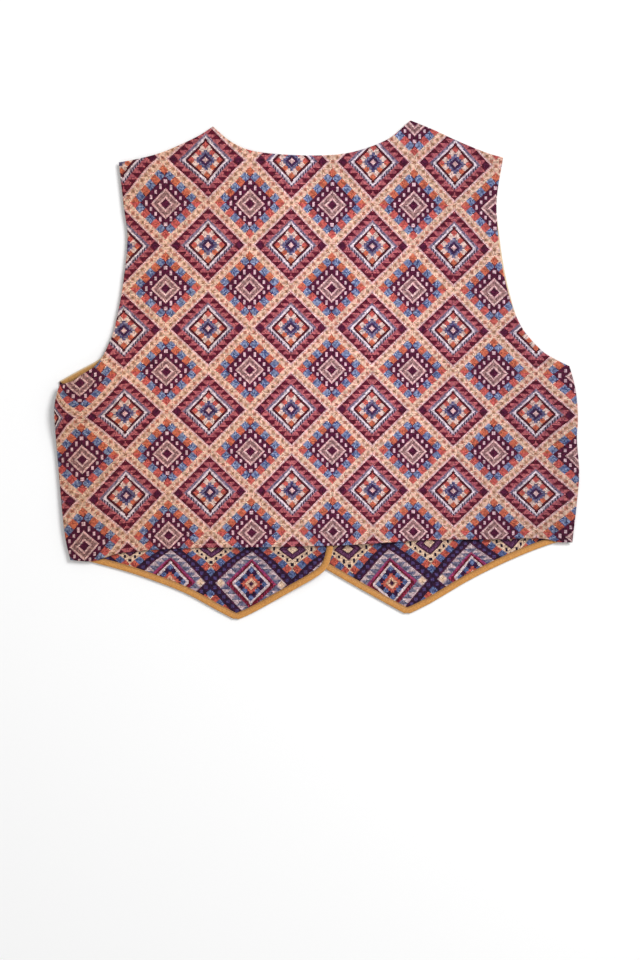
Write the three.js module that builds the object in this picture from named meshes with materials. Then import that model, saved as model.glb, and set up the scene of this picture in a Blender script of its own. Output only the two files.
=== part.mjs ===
// A short woven vest laid flat on a surface, its back up. The two fronts lie under the back with their
// inside up, and the left front laps over the right one at the centre. A narrow bias facing runs along
// the inside of each front's edges. +X is the wearer's right, +Y is towards the neck, +Z is up.
import * as THREE from "three";

// Thicknesses and clearances, in millimetres.
const CLOTH = 1.3; // the patterned panels
const FACING = 1.0; // the plain bias strips
const GAP = 0.3; // between two pieces that touch
const FACING_WIDTH = 6.8; // how far a facing reaches in from the edge it finishes

// How a panel lies on what is under it: it keeps its full height this far past the lower piece's edge,
// and then comes down over the next stretch.
const REACH = 26;
const RAMP = 36;
const LAP_REACH = 66; // the back clears the whole ramp of the lapped left front

// The number of cells across and along each panel.
const BACK_CELLS = { across: 30, shoulder: 8, along: 26, side: 10 };
const FRONT_CELLS = { across: 14, hem: 7, along: 26, side: 10 };

// The shoulder line and the neck of the back, from the left armhole to the right one.
const SHOULDER_LEFT = [
  { x: -193.4, y: 202.8 },
  { x: -172.9, y: 206.8 },
  { x: -149.5, y: 213.4 },
  { x: -118.0, y: 227.5 },
  { x: -101.6, y: 238.0 },
];
const NECK = [
  { x: -101.6, y: 238.0 },
  { x: -84.0, y: 223.2 },
  { x: -61.6, y: 213.9 },
  { x: -20.5, y: 210.3 },
  { x: 20.5, y: 211.0 },
  { x: 48.0, y: 216.8 },
  { x: 72.0, y: 227.4 },
  { x: 90.9, y: 243.8 },
];
const SHOULDER_RIGHT = [
  { x: 90.9, y: 243.8 },
  { x: 112.4, y: 235.0 },
  { x: 140.0, y: 222.5 },
  { x: 166.1, y: 212.0 },
  { x: 181.7, y: 207.6 },
];

// The back's edges on each side, from the hem up.
const BACK_SIDE_LEFT = [
  { x: -240.5, y: -184.5 },
  { x: -246.0, y: -160.0 },
  { x: -250.8, y: -112.8 },
  { x: -255.8, y: -46.0 },
  { x: -253.6, y: -24.0 },
  { x: -250.2, y: -14.2 },
];
const BACK_ARMHOLE_LEFT = [
  { x: -250.2, y: -14.2 },
  { x: -237.4, y: -10.2 },
  { x: -219.0, y: 2.0 },
  { x: -205.0, y: 21.0 },
  { x: -196.6, y: 44.0 },
  { x: -189.5, y: 82.6 },
  { x: -184.9, y: 128.0 },
  { x: -188.6, y: 160.0 },
  { x: -193.4, y: 202.8 },
];
const BACK_SIDE_RIGHT = [
  { x: 249.1, y: -166.8 },
  { x: 253.2, y: -131.4 },
  { x: 255.8, y: -100.0 },
  { x: 253.6, y: -66.0 },
  { x: 254.6, y: -46.0 },
  { x: 252.4, y: -20.0 },
  { x: 246.4, y: 4.0 },
];
const BACK_ARMHOLE_RIGHT = [
  { x: 246.4, y: 4.0 },
  { x: 231.0, y: 11.0 },
  { x: 215.4, y: 19.0 },
  { x: 198.6, y: 41.0 },
  { x: 188.4, y: 68.0 },
  { x: 181.0, y: 100.0 },
  { x: 176.6, y: 134.0 },
  { x: 175.4, y: 168.0 },
  { x: 181.7, y: 207.6 },
];
const BACK_HEM = [
  { x: -240.5, y: -184.5 },
  { x: -196.4, y: -181.2 },
  { x: -155.0, y: -175.6 },
  { x: -76.0, y: -174.4 },
  { x: 14.7, y: -171.8 },
  { x: 108.4, y: -166.4 },
  { x: 249.1, y: -166.8 },
];

// The fronts' edges. Each hem runs from its side seam to its point, then to the front edge.
const HEM_LEFT_OUTER = [
  { x: -239.5, y: -182.5 },
  { x: -223.7, y: -186.1 },
  { x: -178.8, y: -198.6 },
  { x: -131.9, y: -216.0 },
  { x: -97.0, y: -234.5 },
  { x: -79.1, y: -243.8 },
];
const HEM_LEFT_INNER = [
  { x: -79.1, y: -243.8 },
  { x: -61.6, y: -235.9 },
  { x: -26.0, y: -216.0 },
  { x: 2.0, y: -199.6 },
  { x: 11.2, y: -189.2 },
  { x: 15.6, y: -173.4 },
];
const HEM_RIGHT_OUTER = [
  { x: 248.1, y: -164.8 },
  { x: 225.7, y: -168.6 },
  { x: 190.0, y: -182.5 },
  { x: 150.0, y: -204.0 },
  { x: 112.0, y: -226.4 },
  { x: 87.9, y: -238.4 },
];
const HEM_RIGHT_INNER = [
  { x: 87.9, y: -238.4 },
  { x: 66.0, y: -226.6 },
  { x: 28.0, y: -205.2 },
  { x: 4.0, y: -190.8 },
  { x: -8.0, y: -180.0 },
  { x: -13.0, y: -166.0 },
];
const LAP_LEFT = 15.6; // where the left front's straight edge runs
const LAP_RIGHT = -13.0; // where the right front's runs, under it
const NECKLINE_START = 42; // the height at which the fronts' V neck begins
const NECKLINE_BOW = 9; // how far the V neck bends in towards the shoulder
const SEAM_INSET = 1.2; // the fronts' hidden edges lie this far inside the back's

const FRONT_ARMHOLE_LEFT = [
  { x: -251.5, y: -10.8 },
  { x: -229.6, y: 0.6 },
  { x: -211.5, y: 17.0 },
  { x: -200.0, y: 36.0 },
  { x: -188.0, y: 84.0 },
  { x: -183.5, y: 128.0 },
  { x: -187.0, y: 160.0 },
  { x: -191.8, y: 201.0 },
];
const FRONT_ARMHOLE_RIGHT = [
  { x: 245.2, y: 2.6 },
  { x: 229.0, y: 10.0 },
  { x: 213.0, y: 19.5 },
  { x: 198.2, y: 43.6 },
  { x: 189.4, y: 69.0 },
  { x: 182.2, y: 100.5 },
  { x: 177.4, y: 134.0 },
  { x: 174.4, y: 168.0 },
  { x: 180.3, y: 206.0 },
];

// Soft folds of the back, which only it takes: each is a long low hump.
const FOLDS = [
  { x: -224, y: -24, length: 58, width: 21, turn: 36, height: 7.0 },
  { x: -238, y: -96, length: 70, width: 16, turn: 84, height: 2.2 },
  { x: 212, y: -128, length: 52, width: 15, turn: 24, height: 2.6 },
  { x: 196, y: -150, length: 58, width: 12, turn: 12, height: 1.8 },
  { x: 226, y: -34, length: 46, width: 18, turn: -42, height: 2.0 },
  { x: 96, y: 205, length: 60, width: 20, turn: 64, height: 1.6 },
];

const WOVEN = new THREE.MeshStandardMaterial({ color: 0xb5786a, roughness: 0.9, metalness: 0 });
const WOVEN_REVERSE = new THREE.MeshStandardMaterial({ color: 0x6d5a78, roughness: 0.9, metalness: 0 });
const GOLDEN = new THREE.MeshStandardMaterial({ color: 0xd7963c, roughness: 0.75, metalness: 0 });

// Evenly spaced points of a smooth curve through a table's rows.
function along(rows, steps) {
  const knots = rows.map(({ x, y }) => new THREE.Vector2(x, y));
  return new THREE.SplineCurve(knots).getSpacedPoints(steps);
}

// Curves joined end to end, each shared corner kept once.
function joined(...curves) {
  return curves.flatMap((points, index) => (index ? points.slice(1) : points));
}

// The loop moved inwards by a distance, its corners mitred. The loop runs anticlockwise.
function inset(loop, distance) {
  return loop.map((point, index) => {
    const before = loop[(index + loop.length - 1) % loop.length];
    const after = loop[(index + 1) % loop.length];
    const arriving = inwardNormal(before, point);
    const leaving = inwardNormal(point, after);
    const mitre = arriving.clone().add(leaving).normalize();
    return point.clone().addScaledVector(mitre, distance / mitre.dot(leaving));
  });
}

function inwardNormal(from, to) {
  const way = to.clone().sub(from).normalize();
  return new THREE.Vector2(-way.y, way.x);
}

// A point inside four sides, blended from all of them (a Coons patch).
function blend(sides, across, up) {
  const { bottom, top, left, right } = sides;
  const u = across / (bottom.length - 1);
  const v = up / (left.length - 1);
  const edges = bottom[across].clone().lerp(top[across], v).add(left[up].clone().lerp(right[up], u));
  const low = bottom[0].clone().lerp(bottom[bottom.length - 1], u);
  const high = top[0].clone().lerp(top[top.length - 1], u);
  return edges.sub(low.lerp(high, v));
}

// A panel's plan: a rim of cells as wide as a facing all round, and a grid of cells inside it. The rim's
// cells are listed in the order of the loop, which starts at the bottom left corner.
function panelPlan(sides) {
  const { bottom, top, left, right } = sides;
  const across = bottom.length - 1;
  const up = left.length - 1;
  const loop = joined(bottom, right, [...top].reverse(), [...left].reverse()).slice(0, -1);
  const inner = inset(loop, FACING_WIDTH);
  const start = { right: across, top: across + up, left: 2 * across + up };
  const core = {
    bottom: inner.slice(0, start.right + 1),
    right: inner.slice(start.right, start.top + 1),
    top: inner.slice(start.top, start.left + 1).reverse(),
    left: [...inner.slice(start.left), inner[0]].reverse(),
  };
  const points = [...loop];
  const numbers = [];
  for (let row = 0; row <= up; row++) {
    numbers.push([]);
    for (let column = 0; column <= across; column++) {
      numbers[row].push(points.length);
      points.push(blend(core, column, row));
    }
  }
  const cells = [];
  for (let row = 0; row < up; row++) {
    for (let column = 0; column < across; column++) {
      const [low, high] = [numbers[row], numbers[row + 1]];
      cells.push([low[column], low[column + 1], high[column + 1], high[column]]);
    }
  }
  const innerNumbers = [
    ...numbers[0],
    ...numbers.slice(1).map((row) => row[across]),
    ...numbers[up].slice(0, across).reverse(),
    ...numbers.slice(1, up).map((row) => row[0]).reverse(),
  ];
  const rim = loop.map((_, index) => {
    const next = (index + 1) % loop.length;
    return [index, next, innerNumbers[next], innerNumbers[index]];
  });
  return { points, cells: [...cells, ...rim], rim, start, loop };
}

// A closed wall of cloth over a plan's cells: a lower and an upper surface, and the cut edge between them.
function clothWall(points, cells, lowerHeight, thickness) {
  const used = [...new Set(cells.flat())];
  const place = new Map(used.map((number, index) => [number, index]));
  const positions = [];
  for (const lift of [0, thickness]) {
    for (const number of used) {
      const { x, y } = points[number];
      positions.push(x, y, lowerHeight(x, y) + lift);
    }
  }
  const upper = used.length;
  const triangles = [];
  const edges = new Map();
  for (const cell of cells) {
    const [a, b, c, d] = cell.map((number) => place.get(number));
    triangles.push(a, c, b, a, d, c);
    triangles.push(upper + a, upper + b, upper + c, upper + a, upper + c, upper + d);
    for (const [from, to] of [[a, b], [b, c], [c, d], [d, a]]) edges.set(from + "," + to, [from, to]);
  }
  for (const [from, to] of edges.values()) {
    if (edges.has(to + "," + from)) continue;
    triangles.push(from, to, upper + to, from, upper + to, upper + from);
  }
  const geometry = new THREE.BufferGeometry();
  geometry.setAttribute("position", new THREE.Float32BufferAttribute(positions, 3));
  geometry.setIndex(triangles);
  geometry.computeVertexNormals();
  return geometry;
}

// How far a spot lies outside a loop, or 0 inside it.
function distanceTo(loop, x, y) {
  let crossings = 0;
  let nearest = Infinity;
  loop.forEach((from, index) => {
    const to = loop[(index + 1) % loop.length];
    const [wide, high] = [to.x - from.x, to.y - from.y];
    const share = ((x - from.x) * wide + (y - from.y) * high) / from.distanceToSquared(to);
    const held = THREE.MathUtils.clamp(share, 0, 1);
    nearest = Math.min(nearest, Math.hypot(from.x + held * wide - x, from.y + held * high - y));
    if (from.y > y !== to.y > y && x < from.x + ((y - from.y) / high) * wide) crossings++;
  });
  return crossings % 2 ? 0 : nearest;
}

// The lift that a piece under a panel gives it: its full height near the piece, then a soft ramp down.
function liftOver(loops, height, reach = REACH) {
  return (x, y) => {
    const distance = Math.min(...loops.map((loop) => distanceTo(loop, x, y)));
    return height * (1 - THREE.MathUtils.smoothstep(distance, reach, reach + RAMP));
  };
}

function foldHeight(x, y) {
  let total = 0;
  for (const fold of FOLDS) {
    const turn = THREE.MathUtils.degToRad(fold.turn);
    const lengthwise = ((x - fold.x) * Math.cos(turn) + (y - fold.y) * Math.sin(turn)) / fold.length;
    const crosswise = ((y - fold.y) * Math.cos(turn) - (x - fold.x) * Math.sin(turn)) / fold.width;
    total += fold.height * Math.exp(-lengthwise * lengthwise - crosswise * crosswise);
  }
  return total;
}

// The V neck of a front, from its straight edge up to the shoulder, bent a little towards the armhole.
function neckline(lap, shoulderPoint) {
  const middle = {
    x: (lap + shoulderPoint.x) / 2 + Math.sign(shoulderPoint.x) * NECKLINE_BOW,
    y: (NECKLINE_START + shoulderPoint.y) / 2,
  };
  return [{ x: lap, y: NECKLINE_START }, middle, shoulderPoint];
}

function backSides() {
  const { across, shoulder, along: up, side } = BACK_CELLS;
  return {
    bottom: along(BACK_HEM, across),
    top: joined(
      along(SHOULDER_LEFT, shoulder),
      along(NECK, across - 2 * shoulder),
      along(SHOULDER_RIGHT, shoulder),
    ),
    left: joined(along(BACK_SIDE_LEFT, side), along(BACK_ARMHOLE_LEFT, up - side)),
    right: joined(along(BACK_SIDE_RIGHT, side), along(BACK_ARMHOLE_RIGHT, up - side)),
  };
}

// The four edges of a front, each from the hem up or from the armhole inwards. Its side seam and its
// shoulder seam lie just inside the back's.
function frontEdges(cut) {
  const { across, hem, along: up, side } = FRONT_CELLS;
  const outwards = Math.sign(cut.armhole[0].x);
  const seam = cut.backSide.slice(1, -1).map(({ x, y }) => ({ x: x - outwards * SEAM_INSET, y }));
  const shoulder = cut.shoulder.slice(1).map(({ x, y }) => ({
    x: x + outwards * SEAM_INSET,
    y: y - 2 * SEAM_INSET,
  }));
  const straight = [cut.hemInner.at(-1), { x: cut.lap, y: NECKLINE_START }];
  return {
    hem: joined(along(cut.hemOuter, hem), along(cut.hemInner, across - hem)),
    shoulder: along([cut.armhole.at(-1), ...shoulder], across),
    outer: joined(along([cut.hemOuter[0], ...seam, cut.armhole[0]], side), along(cut.armhole, up - side)),
    inner: joined(along(straight, side + 1), along(neckline(cut.lap, shoulder.at(-1)), up - side - 1)),
  };
}

function leftFrontPlan() {
  const edges = frontEdges({
    backSide: BACK_SIDE_LEFT,
    hemOuter: HEM_LEFT_OUTER,
    hemInner: HEM_LEFT_INNER,
    armhole: FRONT_ARMHOLE_LEFT,
    shoulder: SHOULDER_LEFT,
    lap: LAP_LEFT,
  });
  return panelPlan({ bottom: edges.hem, top: edges.shoulder, left: edges.outer, right: edges.inner });
}

// The right front's armhole is on its other side, so its hem and shoulder run the other way.
function rightFrontPlan() {
  const edges = frontEdges({
    backSide: BACK_SIDE_RIGHT,
    hemOuter: HEM_RIGHT_OUTER,
    hemInner: HEM_RIGHT_INNER,
    armhole: FRONT_ARMHOLE_RIGHT,
    shoulder: [...SHOULDER_RIGHT].reverse(),
    lap: LAP_RIGHT,
  });
  return panelPlan({
    bottom: edges.hem.reverse(),
    top: edges.shoulder.reverse(),
    left: edges.inner,
    right: edges.outer,
  });
}

// A facing is a run of its panel's rim cells.
function facingPlan(plan, first, count) {
  const cells = [];
  for (let step = 0; step < count; step++) cells.push(plan.rim[(first + step) % plan.rim.length]);
  const outer = [cells[0][0], ...cells.map((cell) => cell[1])];
  const inner = [...cells.map((cell) => cell[2]).reverse(), cells[0][3]];
  return { cells, loop: [...outer, ...inner].map((number) => plan.points[number]) };
}

// The hem and the whole front edge of each front carry one facing, and each armhole another.
function facingPlans(left, right) {
  const armholeCells = FRONT_CELLS.along - FRONT_CELLS.side;
  const openAndHem = right.loop.length - right.start.left + right.start.right;
  return {
    edgeLeft: facingPlan(left, 0, left.start.top),
    armholeLeft: facingPlan(left, left.start.left, armholeCells),
    edgeRight: facingPlan(right, right.start.left, openAndHem),
    armholeRight: facingPlan(right, right.start.right + FRONT_CELLS.side, armholeCells),
  };
}

// Where the left front lies on the right one.
function lapLoop() {
  const hem = HEM_RIGHT_INNER[2].y;
  const crossing = { x: (LAP_LEFT + LAP_RIGHT) / 2, y: NECKLINE_START + LAP_LEFT - LAP_RIGHT };
  return [
    new THREE.Vector2(LAP_RIGHT, hem),
    new THREE.Vector2(LAP_LEFT, hem),
    new THREE.Vector2(LAP_LEFT, NECKLINE_START),
    new THREE.Vector2(crossing.x, crossing.y),
    new THREE.Vector2(LAP_RIGHT, NECKLINE_START),
  ];
}

function named(name, geometry, material) {
  const mesh = new THREE.Mesh(geometry, material.clone());
  mesh.name = name;
  return mesh;
}

function panel(name, plan, lowerHeight, material) {
  return named(name, clothWall(plan.points, plan.cells, lowerHeight, CLOTH), material);
}

// A facing lies on its panel, so it has the panel's own points, moved up.
function facing(name, plan, strip, panelHeight) {
  const lowerHeight = (x, y) => panelHeight(x, y) + CLOTH + GAP;
  return named(name, clothWall(plan.points, strip.cells, lowerHeight, FACING), GOLDEN);
}

function vest() {
  const back = panelPlan(backSides());
  const left = leftFrontPlan();
  const right = rightFrontPlan();
  const strips = facingPlans(left, right);
  const stripLoops = Object.values(strips).map((strip) => strip.loop);

  const flat = () => 0;
  const overRight = liftOver([right.loop], CLOTH + GAP);
  const overRightFacing = liftOver([strips.edgeRight.loop], FACING + GAP);
  const leftHeight = (x, y) => overRight(x, y) + overRightFacing(x, y);

  const overFronts = liftOver([left.loop, right.loop], CLOTH + GAP);
  const overFacings = liftOver(stripLoops, FACING + GAP);
  const overLap = liftOver([lapLoop()], CLOTH + FACING + 2 * GAP, LAP_REACH);
  const backHeight = (x, y) => overFronts(x, y) + overFacings(x, y) + overLap(x, y) + foldHeight(x, y);

  const made = new THREE.Group();
  made.add(
    panel("front_right", right, flat, WOVEN_REVERSE),
    facing("edge_facing_right", right, strips.edgeRight, flat),
    facing("armhole_facing_right", right, strips.armholeRight, flat),
    panel("front_left", left, leftHeight, WOVEN_REVERSE),
    facing("edge_facing_left", left, strips.edgeLeft, leftHeight),
    facing("armhole_facing_left", left, strips.armholeLeft, leftHeight),
    panel("back_panel", back, backHeight, WOVEN),
  );
  return made;
}

export default vest();
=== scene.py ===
"""The looks of a short woven vest that lies flat with its back up.

Each sewn piece of the CAD frame is replaced by a thin shell of cloth that lies where it does, with its
creases and a jacquard that is charted in woven cells. Plans and tables are in millimetres, in the CAD's
frame: +X is the wearer's right, +Y is towards the neck and +Z is up. Meshes are in metres.
"""

import math

import bmesh
import bpy
import numpy as np
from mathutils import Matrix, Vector, noise
from mathutils.bvhtree import BVHTree


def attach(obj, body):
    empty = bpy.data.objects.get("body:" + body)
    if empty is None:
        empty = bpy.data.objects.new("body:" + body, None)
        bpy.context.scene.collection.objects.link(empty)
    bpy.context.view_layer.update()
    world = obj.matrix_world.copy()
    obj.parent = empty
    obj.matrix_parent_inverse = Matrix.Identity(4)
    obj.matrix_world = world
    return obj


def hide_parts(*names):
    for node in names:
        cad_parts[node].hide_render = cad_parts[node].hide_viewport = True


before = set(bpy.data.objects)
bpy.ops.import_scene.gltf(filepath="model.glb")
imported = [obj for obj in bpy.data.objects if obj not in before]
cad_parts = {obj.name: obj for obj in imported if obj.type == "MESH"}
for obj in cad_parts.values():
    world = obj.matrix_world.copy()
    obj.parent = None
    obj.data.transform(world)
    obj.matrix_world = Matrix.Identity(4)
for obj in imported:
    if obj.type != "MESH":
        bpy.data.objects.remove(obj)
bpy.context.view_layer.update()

MM = 0.001  # metres in a millimetre

# ---------------------------------------------------------------------------------------------------
# Outlines, which follow the photo up to 3.5 mm closer than the CAD's: the shoulders and the neck from the
# left armhole to the right one, and the sides and armholes from the hem up.
SHOULDER_LEFT = [(-193.4, 202.8), (-172.9, 206.8), (-149.5, 213.4), (-118.0, 227.5), (-101.6, 238.0)]
NECK = [
    (-101.6, 238.0),
    (-84.0, 223.2),
    (-61.6, 213.9),
    (-20.5, 210.3),
    (20.5, 211.0),
    (48.0, 216.8),
    (72.0, 227.4),
    (90.9, 243.8),
]
SHOULDER_RIGHT = [(90.9, 243.8), (112.4, 235.0), (140.0, 222.5), (166.1, 212.0), (181.7, 207.6)]
BACK_SIDE_LEFT = [
    (-240.5, -185.2),
    (-246.0, -160.0),
    (-250.8, -112.8),
    (-255.8, -46.0),
    (-253.6, -24.0),
    (-250.2, -14.2),
]
BACK_ARMHOLE_LEFT = [
    (-250.2, -14.2),
    (-237.4, -10.2),
    (-229.6, -4.6),
    (-217.0, 3.2),
    (-209.6, 12.4),
    (-204.8, 22.0),
    (-199.0, 36.0),
    (-195.8, 49.0),
    (-189.5, 82.6),
    (-184.9, 128.0),
    (-188.6, 160.0),
    (-193.4, 202.8),
]
BACK_SIDE_RIGHT = [
    (249.1, -168.0),
    (253.2, -131.4),
    (255.8, -100.0),
    (253.6, -66.0),
    (254.6, -46.0),
    (252.4, -20.0),
    (246.4, 4.0),
]
BACK_ARMHOLE_RIGHT = [
    (246.4, 4.0),
    (231.4, 11.4),
    (218.0, 20.4),
    (200.0, 41.6),
    (188.8, 68.0),
    (181.0, 100.0),
    (176.6, 134.0),
    (175.4, 168.0),
    (181.7, 207.6),
]
BACK_HEM = [
    (-240.5, -185.2),
    (-224.0, -186.5),
    (-215.0, -185.6),
    (-204.0, -181.8),
    (-190.0, -178.2),
    (-155.0, -174.8),
    (-120.0, -173.4),
    (-76.0, -172.8),
    (14.7, -171.0),
    (66.0, -168.2),
    (108.4, -165.6),
    (178.0, -164.8),
    (203.0, -163.8),
    (222.0, -164.4),
    (235.0, -167.6),
    (249.1, -168.0),
]
# The fronts' hems, each from its side seam to its point and from there to the front edge.
HEM_LEFT_OUTER = [
    (-239.5, -182.5),
    (-223.7, -186.1),
    (-178.8, -198.6),
    (-131.9, -216.0),
    (-97.0, -234.5),
    (-79.1, -243.8),
]
HEM_LEFT_INNER = [
    (-79.1, -243.8),
    (-61.6, -235.9),
    (-26.0, -216.0),
    (2.0, -199.6),
    (11.2, -189.2),
    (15.6, -173.4),
]
HEM_RIGHT_OUTER = [
    (248.1, -164.8),
    (225.7, -170.2),
    (190.0, -184.4),
    (150.0, -204.0),
    (112.0, -226.4),
    (87.9, -238.4),
]
HEM_RIGHT_INNER = [
    (87.9, -238.4),
    (66.0, -226.6),
    (28.0, -205.2),
    (4.0, -190.8),
    (-8.0, -180.0),
    (-13.0, -166.0),
]
FRONT_ARMHOLE_LEFT = [
    (-251.5, -10.8),
    (-234.9, -1.4),
    (-217.3, 8.0),
    (-209.6, 13.4),
    (-203.4, 22.6),
    (-197.6, 37.0),
    (-188.0, 84.0),
    (-183.5, 128.0),
    (-187.0, 160.0),
    (-191.8, 201.0),
]
FRONT_ARMHOLE_RIGHT = [
    (245.2, 2.6),
    (229.0, 10.0),
    (213.0, 19.5),
    (198.2, 43.6),
    (189.4, 69.0),
    (182.2, 100.5),
    (177.4, 134.0),
    (174.4, 168.0),
    (180.3, 206.0),
]
LAP_LEFT = 15.6  # where the left front's straight edge runs
LAP_RIGHT = -13.0  # where the right front's runs, under it
NECKLINE_START = 42  # the height at which the fronts' V neck begins
NECKLINE_BOW = 9  # how far the V neck bends towards the armhole
SEAM_INSET = 1.2  # the fronts' hidden edges lie this far inside the back's

# ---------------------------------------------------------------------------------------------------
# How the pieces are made.
CLOTH = 1.2  # thickness of the jacquard
RIM_TURNS = (45, 0, -45)  # degrees from level of the rings of points round a panel's edge
FACING_WIDTH = 6.8
FACING_GAP = 0.15  # between a strip and its cloth
FACING_HEIGHT = 1.15  # of the strip's crown over the cloth that it lies on
LOWEST = 0.15  # no point of a strip is closer to the floor
CORNER_TURN = math.radians(18)  # an outline turns by more than this only at a corner
CORNER_SLIDE = 5  # points slide along an inset line up to this many times the inset from a corner
CURVE_SAMPLES = 40  # between two rows of an outline's table
BACK_CELLS = {"across": 192, "shoulder": 40, "along": 176, "side": 66}
FRONT_CELLS = {"across": 100, "hem": 56, "along": 184, "side": 66, "straight": 76}
SMOOTHING = 40  # passes that take the CAD's facets out of its heights
RAY_HEIGHT = 1  # metres above the floor where rays start down
TIP_ROUNDING = 1  # samples on each side of a point of the hem that are averaged

# Soft ridges and troughs of the cloth: the middle, half the length and width, the turn from +X in
# degrees, and the height, which is negative for a trough.
BACK_CREASES = [
    (-226, -44, 40, 6, 36, 1.4),
    (-214, -8, 30, 5, 48, -0.9),
    (-241, -70, 60, 5, 86, -0.75),
    (-200, -60, 50, 9, 28, 0.9),
    (214, -140, 60, 6, 20, 1.2),
    (226, -112, 40, 5, 30, -0.9),
    (180, -158, 70, 6, 8, -0.75),
    (232, -60, 40, 7, -48, 0.9),
    (204, -12, 36, 6, -44, 0.75),
    (98, 196, 46, 7, 62, 0.75),
    (-108, 186, 50, 8, -58, 0.75),
    (-60, -150, 90, 9, 4, 0.6),
    (60, -156, 80, 8, -6, 0.68),
    (30, 60, 120, 16, 82, 0.52),
    (-120, 30, 90, 14, 70, 0.52),
    (130, 10, 90, 14, -72, 0.52),
]
FRONT_CREASES = [
    (-120, -205, 40, 8, -24, 0.35),
    (-30, -200, 34, 8, 32, 0.35),
    (150, -190, 40, 8, 28, 0.35),
    (40, -196, 34, 8, -30, 0.3),
    (-180, -60, 60, 14, 60, 0.4),
    (170, -40, 60, 14, -58, 0.4),
]

# The loft of a panel, which starts a little way in from its edge: where it is whole, its mean height,
# and the height, size and seed of the bumps that vary it.
LOFT_START = 2
BACK_LOFT = {"whole": 26, "mean": 0.5, "bumps": [(0.45, 46, 3.0), (0.15, 17, 8.0)]}
RIGHT_LOFT = {"whole": 20, "mean": 0.12, "bumps": [(0.12, 40, 5.0)]}
LEFT_LOFT = {"whole": 20, "mean": 0.12, "bumps": [(0.12, 40, 11.0)]}

# ---------------------------------------------------------------------------------------------------
# The woven repeat. A square of cells holds one whole large diamond and four quarters of the other.
CELLS = 72
REPEAT = 80.2  # its size in millimetres
HALF = CELLS / 2

# The pale band between the diamonds, and the dots on it.
BAND_REACH = 4.6  # from its middle to the large diamonds
BAND_FAR_REACH = 5.4  # and to the small ones
BAND_EDGE = 1.1  # half the width of its lighter edge, at the large diamonds
DOT_PITCH = 4.0
DOT_SIZE = 2.6  # the square of a dot's reach, and of its core's
DOT_CORE_SIZE = 0.6
DOT_SHARE = 0.45  # of the dots that are in the second yarn

# The large diamond: triangles in rows, a white line, a check of small squares and a rosette.
TALLER = 0.94  # its rings are a little taller than they are wide
TRIANGLE_START = 22.9  # the ring of triangles, from its inner edge to its outer one
TRIANGLE_END = 31.4
TRIANGLE_PITCH = 4.36  # of their rows above the middle
LOWER_PITCH = 4.66  # and below it, where they start a little further out
LOWER_START = 0.5
TIP_PLACE = 26.9  # of the plum diamonds at its sides
TIP_REACH = 3.6
LINE_RINGS = [(19.2, "white"), (17.0, "line")]
CHECK_REACH = 14.4
CHECK_PITCH = 6.0
ROSETTE_REACH = 8.3  # of its notched outer ring, and then of its inner rings
ROSETTE_RINGS = [(5.6, "navy"), (2.6, "edge")]

# The small diamond: a border of small squares, upright spots and a ringed square.
SPOTS_DROP = 0.5  # the spots' middle is lower than the diamond's, and the ringed square's lower still
RINGS_DROP = 1.0
SQUARE_RADIUS = 26.4  # of the border of small squares
SQUARE_PITCH = 4.38
SQUARE_REACH = (4.2, 4.4)  # half a square, along the border and across it
SPOT_RADIUS = 17.4
SPOT_PITCH = 4.2  # of the spots, across
SPOT_RISE = 4.35  # and up
SPOT_REACH = (1.05, 1.8)  # half a spot, across and up
SPOTS_END = 22.0
SQUARE_RINGS = [(12.3, "edge"), (10.6, "fleck"), (6.4, "edge"), (4.6, "plum")]

# Each yarn of the chart: its colour and that of the thread beside it, on the right side and on the
# reverse, as 8-bit sRGB.
YARNS = {
    "ground": ((255, 222, 194), (252, 188, 176), (60, 22, 58), (34, 12, 38)),
    "edge": ((255, 220, 220), (248, 186, 190), (84, 26, 62), (50, 18, 44)),
    "dot": ((198, 142, 118), (220, 168, 140), (96, 76, 128), (64, 44, 88)),
    "dot_two": ((202, 124, 110), (218, 150, 128), (84, 70, 124), (70, 46, 86)),
    "dot_core": ((146, 96, 76), (166, 116, 92), (84, 72, 124), (64, 52, 96)),
    "rose": ((218, 122, 124), (166, 78, 100), (140, 134, 152), (78, 76, 114)),
    "maroon": ((92, 8, 38), (112, 26, 52), (228, 204, 206), (180, 148, 158)),
    "plum": ((74, 12, 46), (104, 30, 66), (246, 214, 186), (220, 180, 154)),
    "line": ((94, 14, 36), (72, 12, 32), (240, 220, 222), (214, 188, 194)),
    "coral": ((232, 116, 104), (198, 82, 86), (118, 134, 178), (54, 64, 116)),
    "orange": ((232, 130, 94), (200, 94, 80), (118, 134, 178), (54, 64, 116)),
    "square": ((255, 228, 218), (242, 196, 190), (64, 24, 70), (42, 14, 52)),
    "blue": ((58, 70, 136), (166, 178, 212), (216, 108, 84), (170, 68, 68)),
    "dark_blue": ((58, 52, 112), (150, 142, 172), (216, 108, 84), (170, 68, 68)),
    "navy": ((84, 42, 88), (56, 28, 70), (240, 196, 168), (216, 160, 136)),
    "white": ((255, 242, 248), (246, 220, 236), (124, 20, 38), (84, 12, 32)),
    "white_spot": ((250, 216, 226), (238, 188, 204), (40, 20, 50), (30, 14, 40)),
    "tooth": ((92, 84, 124), (168, 144, 168), (180, 64, 94), (134, 50, 108)),
    "dark_tooth": ((56, 34, 70), (48, 26, 60), (176, 58, 84), (116, 34, 84)),
    "pale_tooth": ((190, 170, 190), (160, 140, 166), (124, 20, 38), (84, 12, 32)),
    "fleck": ((196, 152, 146), (126, 80, 94), (128, 78, 118), (74, 30, 64)),
}


# ---------------------------------------------------------------------------------------------------
# Curves and plans.
def spaced(line, steps):
    """A line's points at equal steps along it."""
    lengths = np.linalg.norm(np.diff(line, axis=0), axis=1)
    reach = np.concatenate([[0], np.cumsum(lengths)])
    wanted = np.linspace(0, reach[-1], steps + 1)
    return np.column_stack([np.interp(wanted, reach, line[:, axis]) for axis in (0, 1)])


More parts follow.
